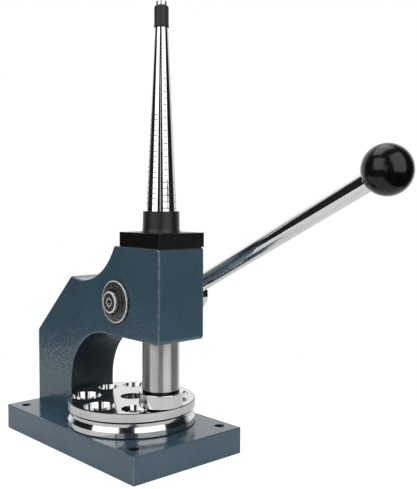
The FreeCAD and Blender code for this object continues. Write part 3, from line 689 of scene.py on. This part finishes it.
class RINGPRESS_OT_mandrel(PieceOperator, bpy.types.Operator):
    """Builds the four mandrel segments with engraved size scales"""

    bl_idname = "ringpress.mandrel"
    bl_label = "Mandrel Segments"

    def execute(self, context):
        look = context.scene.ringpress_mandrel
        front = (look.front_top, look.front_pitch, look.front_marks, look.front_short)
        side = (look.side_top, look.side_pitch, look.side_marks, 0)
        chrome = engraved_chrome()
        filling = inlay()
        for place, angle, scale in (("front", 270, front), ("left", 180, side),
                                    ("rear", 90, front), ("right", 0, side)):
            self.segment(place, angle, scale, look, chrome)
            self.figures(place, angle, scale, look, filling)
        return {"FINISHED"}

    def cone(self, height):
        """Radius of the mandrel's cone at a height."""
        return CONE_TIP_R + CONE_TAPER * (CONE_TIP - height)

    def bore(self, height):
        """Radius of the tapered bore for the core at a height."""
        return BORE_TIP_R + BORE_TAPER * (CONE_TIP - height)

    def figures(self, place, angle, scale, look, filling):
        """Numbers every line of a scale with thin dark inlays wrapped on the cone."""
        top, pitch, marks = scale[:3]
        bm = bmesh.new()
        for k in range(marks):
            text = bpy.data.curves.new("figure", "FONT")
            text.body = str(k + 1)
            text.size = look.figure_height * FONT_PER_HEIGHT
            text.extrude = FIGURE_RISE
            text.resolution_u = 2
            text.align_x = "CENTER"
            holder = bpy.data.objects.new("figure", text)
            flat = holder.to_mesh()
            for vert in flat.vertices:
                height = top - k * pitch + look.line_width + vert.co.y
                radius = self.cone(height) + vert.co.z
                turn = math.radians(angle + FIGURE_TURN) + vert.co.x / radius
                vert.co = (radius * math.cos(turn), MANDREL_Y + radius * math.sin(turn), height)
            bm.from_mesh(flat)
            holder.to_mesh_clear()
            bpy.data.objects.remove(holder)
            bpy.data.curves.remove(text)
        bmesh.ops.remove_doubles(bm, verts=bm.verts, dist=1e-6)
        bmesh.ops.recalc_face_normals(bm, faces=bm.faces)
        mesh = bpy.data.meshes.new("scale_figures_" + place)
        bm.to_mesh(mesh)
        bm.free()
        mesh.materials.append(filling)
        piece = bpy.data.objects.new("scale_figures_" + place, mesh)
        bpy.context.scene.collection.objects.link(piece)
        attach(piece, "segment_" + place)

    def columns(self):
        """Angles across a segment, with the eased edges beside the slits."""
        left = [-SEGMENT_HALF, -EDGE_MIDDLE, -EDGE_FROM, -PLAIN_FROM]
        steps = round(2 * SCALE_HALF / SCALE_STEP)
        scale = [SCALE_STEP * k - SCALE_HALF for k in range(steps + 1)]
        return left + scale + [-angle for angle in reversed(left)]

    def segment(self, place, angle, scale, look, chrome):
        """Makes one segment from its outline: radius, height, and the angles that a line there spans."""
        node = "mandrel_segment_" + place
        top, pitch, marks, short = scale
        half = look.line_width / 2
        bevel, drop = TIP_BEVEL
        levels = [(CONE_FOOT, NO_LINE)]
        for k in reversed(range(marks)):
            height = top - k * pitch
            line = SHORT_LINE if k < short else FULL_LINE
            levels += [(height - half, NO_LINE), (height, line), (height + half, NO_LINE)]
        levels.append((CONE_TIP - drop, NO_LINE))
        flange = [(self.bore(SEGMENT_FOOT), SEGMENT_FOOT, NO_LINE), (FLANGE_R, SEGMENT_FOOT, NO_LINE),
                  (FLANGE_R, CONE_FOOT, NO_LINE)]
        cone = [(self.cone(height), height, line) for height, line in levels]
        spigot = [(CONE_TIP_R - bevel, CONE_TIP, NO_LINE), (SPIGOT_R, CONE_TIP, NO_LINE),
                  (SPIGOT_R, SEGMENT_TOP, NO_LINE), (self.bore(SEGMENT_TOP), SEGMENT_TOP, NO_LINE),
                  (BORE_TIP_R, CONE_TIP, NO_LINE)]
        mesh = self.sweep(node, flange + cone + spigot, angle, look.line_depth)
        mesh.materials.append(chrome)
        piece = bpy.data.objects.new("engraved_segment_" + place, mesh)
        bpy.context.scene.collection.objects.link(piece)
        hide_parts(node)
        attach(piece, "segment_" + place)

    def sweep(self, name, outline, angle, depth):
        """Sweeps a closed outline through the column angles and caps both ends."""
        bm = bmesh.new()
        ink_and_slit_shade = bm.verts.layers.float.new("engraved")
        rings = []
        for column in self.columns():
            turn = math.radians(angle + column)
            ease = max(0.0, abs(column) - EDGE_FROM) / (SEGMENT_HALF - EDGE_FROM)
            ring = []
            for radius, height, (line_from, line_to) in outline:
                mark = 1.0 if line_from <= column <= line_to else 0.0
                shaved = radius > SHAVED_FROM_R
                shave = EDGE_SHAVE * ease ** 2 if shaved else 0.0
                reach = radius - shave - depth * mark
                vert = bm.verts.new((reach * math.cos(turn), MANDREL_Y + reach * math.sin(turn), height))
                # Engraved lines are filled dark; the shaved edges beside the slits are marked dark too, as painted
                # shade.
                vert[ink_and_slit_shade] = 1.0 if shaved and ease > 0.5 else mark
                ring.append(vert)
            rings.append(ring)
        count = len(outline)
        for near, far in zip(rings, rings[1:]):
            for k in range(count):
                following = (k + 1) % count
                bm.faces.new((near[k], far[k], far[following], near[following]))
        bm.faces.new(rings[0])
        bm.faces.new(list(reversed(rings[-1])))
        bmesh.ops.recalc_face_normals(bm, faces=bm.faces)
        mesh = bpy.data.meshes.new(name + "_fine")
        bm.to_mesh(mesh)
        bm.free()
        mesh.shade_smooth()
        mesh.set_sharp_from_angle(angle=math.radians(12))
        return mesh


class RINGPRESS_OT_core(PieceOperator, bpy.types.Operator):
    """Grinds the core, its nut and the hidden shafts"""

    bl_idname = "ringpress.core"
    bl_label = "Core and Shafts"

    def execute(self, context):
        long_streaks = {"stretch": (1.0, 1.0, 14.0), "streak_size": 90.0}
        short_streaks = {"stretch": (1.0, 1.0, 4.0), "streak_size": 120.0}
        dress(plated("ground_steel", shade=0.60, rough=0.22, warm=0.01, **long_streaks),
              "pinion_shaft", "die_pivot_post")
        dress(plated("core_steel", shade=0.90, rough=0.10, **long_streaks), "expander_core")
        dress(plated("nut_chrome", shade=0.90, rough=0.24, stretch=(1.0, 1.0, 4.0), streak_size=300.0),
              "core_tip_nut")
        dress(plated("plain_steel", shade=0.55, rough=0.28, **short_streaks),
              "frame_dowels", "core_pin", "hub_pin", "knob_insert")
        dress(plated("bronze", shade=0.5, rough=0.3, stretch=(6.0, 1.0, 1.0), streak_size=120.0, warm=0.35),
              "left_shaft_bush", "right_shaft_bush")
        return {"FINISHED"}


class RINGPRESS_OT_ram(PieceOperator, bpy.types.Operator):
    """Grinds the ram and turns its pusher foot"""

    bl_idname = "ringpress.ram"
    bl_label = "Ram and Pusher"

    def execute(self, context):
        dress(ground_bar("ram_steel", shade=0.56, rough=0.38), "ram")
        # Lines of painted shade: the pusher's foot over the plate and the ram's neck.
        seam = (PUSHER_FOOT - 0.5 * MM, PUSHER_FOOT + 0.6 * MM, 12.0 * MM, 20.0 * MM)
        neck = (RAM_FOOT - 0.6 * MM, RAM_FOOT + 0.6 * MM, 5.0 * MM, 12.0 * MM)
        dress(turned_face("turned_bright", shade=0.78, rough=0.17, centre=Vector((0.0, MANDREL_Y)),
                          pitch=0.4 * MM, painted_shade_lines=(seam, neck)), "pusher")
        return {"FINISHED"}


class RINGPRESS_OT_die_plate(PieceOperator, bpy.types.Operator):
    """Polishes the turning die plate"""

    bl_idname = "ringpress.die_plate"
    bl_label = "Die Plate"

    def execute(self, context):
        # Painted shade under the flange, at the plate's foot and round the centre bore, and a painted dark
        # reflection along the top edge.
        groove = (PLATE_TOP - 8.0 * MM, PLATE_TOP - 6.4 * MM, 40.0 * MM, 48.2 * MM)
        seam = (PLATE_FOOT - 0.1 * MM, PLATE_FOOT + 0.7 * MM, 48.0 * MM, 50.0 * MM)
        edge = (PLATE_TOP - 0.3 * MM, PLATE_TOP - 0.15 * MM, 48.4 * MM, 50.0 * MM)
        bore = (PLATE_TOP - 1.0 * MM, PLATE_TOP - 0.1 * MM, 8.0 * MM, 8.8 * MM)
        dress(turned_face("die_polish", shade=0.70, rough=0.09, centre=PLATE_AXIS,
                          pitch=0.5 * MM, painted_shade_lines=(groove, seam, edge, bore)), "die_plate")
        return {"FINISHED"}


class RINGPRESS_OT_lever(PieceOperator, bpy.types.Operator):
    """Plates the lever and hub and moulds the ball"""

    bl_idname = "ringpress.lever"
    bl_label = "Lever and Ball"

    def execute(self, context):
        dress(plated("lever_chrome", shade=0.84, rough=0.06, stretch=(1.0, 0.05, 0.05), streak_size=500.0),
              "lever_rod", "lever_hub")
        dress(glossy_ball(), "ball_knob")
        return {"FINISHED"}


class RINGPRESS_OT_shaft_end(PieceOperator, bpy.types.Operator):
    """Darkens the washers and the retaining screw on the left end of the shaft, with painted highlights on their
    rims
    """

    bl_idname = "ringpress.shaft_end"
    bl_label = "Washers and Retaining Screw"

    def execute(self, context):
        dress(shaft_end_steel("washer_steel", shade=0.23, rim=(14.9 * MM, 15.5 * MM)), "retaining_washer")
        dress(shaft_end_steel("spring_steel", shade=0.05, rim=(9.9 * MM, 10.2 * MM), rim_share=0.3),
              "spring_washer")
        dress(shaft_end_steel("screw_steel", shade=0.16, rim=(6.9 * MM, 7.9 * MM), socket_r=2.5 * MM),
              "retaining_screw")
        return {"FINISHED"}


OPERATORS = (
    RINGPRESS_OT_stage, RINGPRESS_OT_frame, RINGPRESS_OT_top_plate, RINGPRESS_OT_mandrel,
    RINGPRESS_OT_core, RINGPRESS_OT_ram, RINGPRESS_OT_die_plate, RINGPRESS_OT_lever,
    RINGPRESS_OT_shaft_end,
)


class RINGPRESS_PT_panel(bpy.types.Panel):
    """Lists the operators"""

    bl_idname = "RINGPRESS_PT_panel"
    bl_label = "Ring Stretcher"
    bl_space_type = "VIEW_3D"
    bl_region_type = "UI"
    bl_category = "Ring Stretcher"

    def draw(self, context):
        for operator in OPERATORS:
            self.layout.operator(operator.bl_idname)


SETTINGS = {
    "ringpress_studio": StudioSettings,
    "ringpress_enamel": EnamelSettings,
    "ringpress_mandrel": MandrelSettings,
}
CLASSES = (*SETTINGS.values(), *OPERATORS, RINGPRESS_PT_panel)


def register():
    for cls in CLASSES:
        bpy.utils.register_class(cls)
    for name, group in SETTINGS.items():
        setattr(bpy.types.Scene, name, PointerProperty(type=group))


def unregister():
    for name in SETTINGS:
        delattr(bpy.types.Scene, name)
    for cls in reversed(CLASSES):
        bpy.utils.unregister_class(cls)


def main():
    register()
    for operator in OPERATORS:
        call = getattr(bpy.ops.ringpress, operator.bl_idname.split(".")[1])
        if call() != {"FINISHED"}:
            raise RuntimeError(operator.bl_label + " did not finish")


if __name__ == "__main__":
    main()
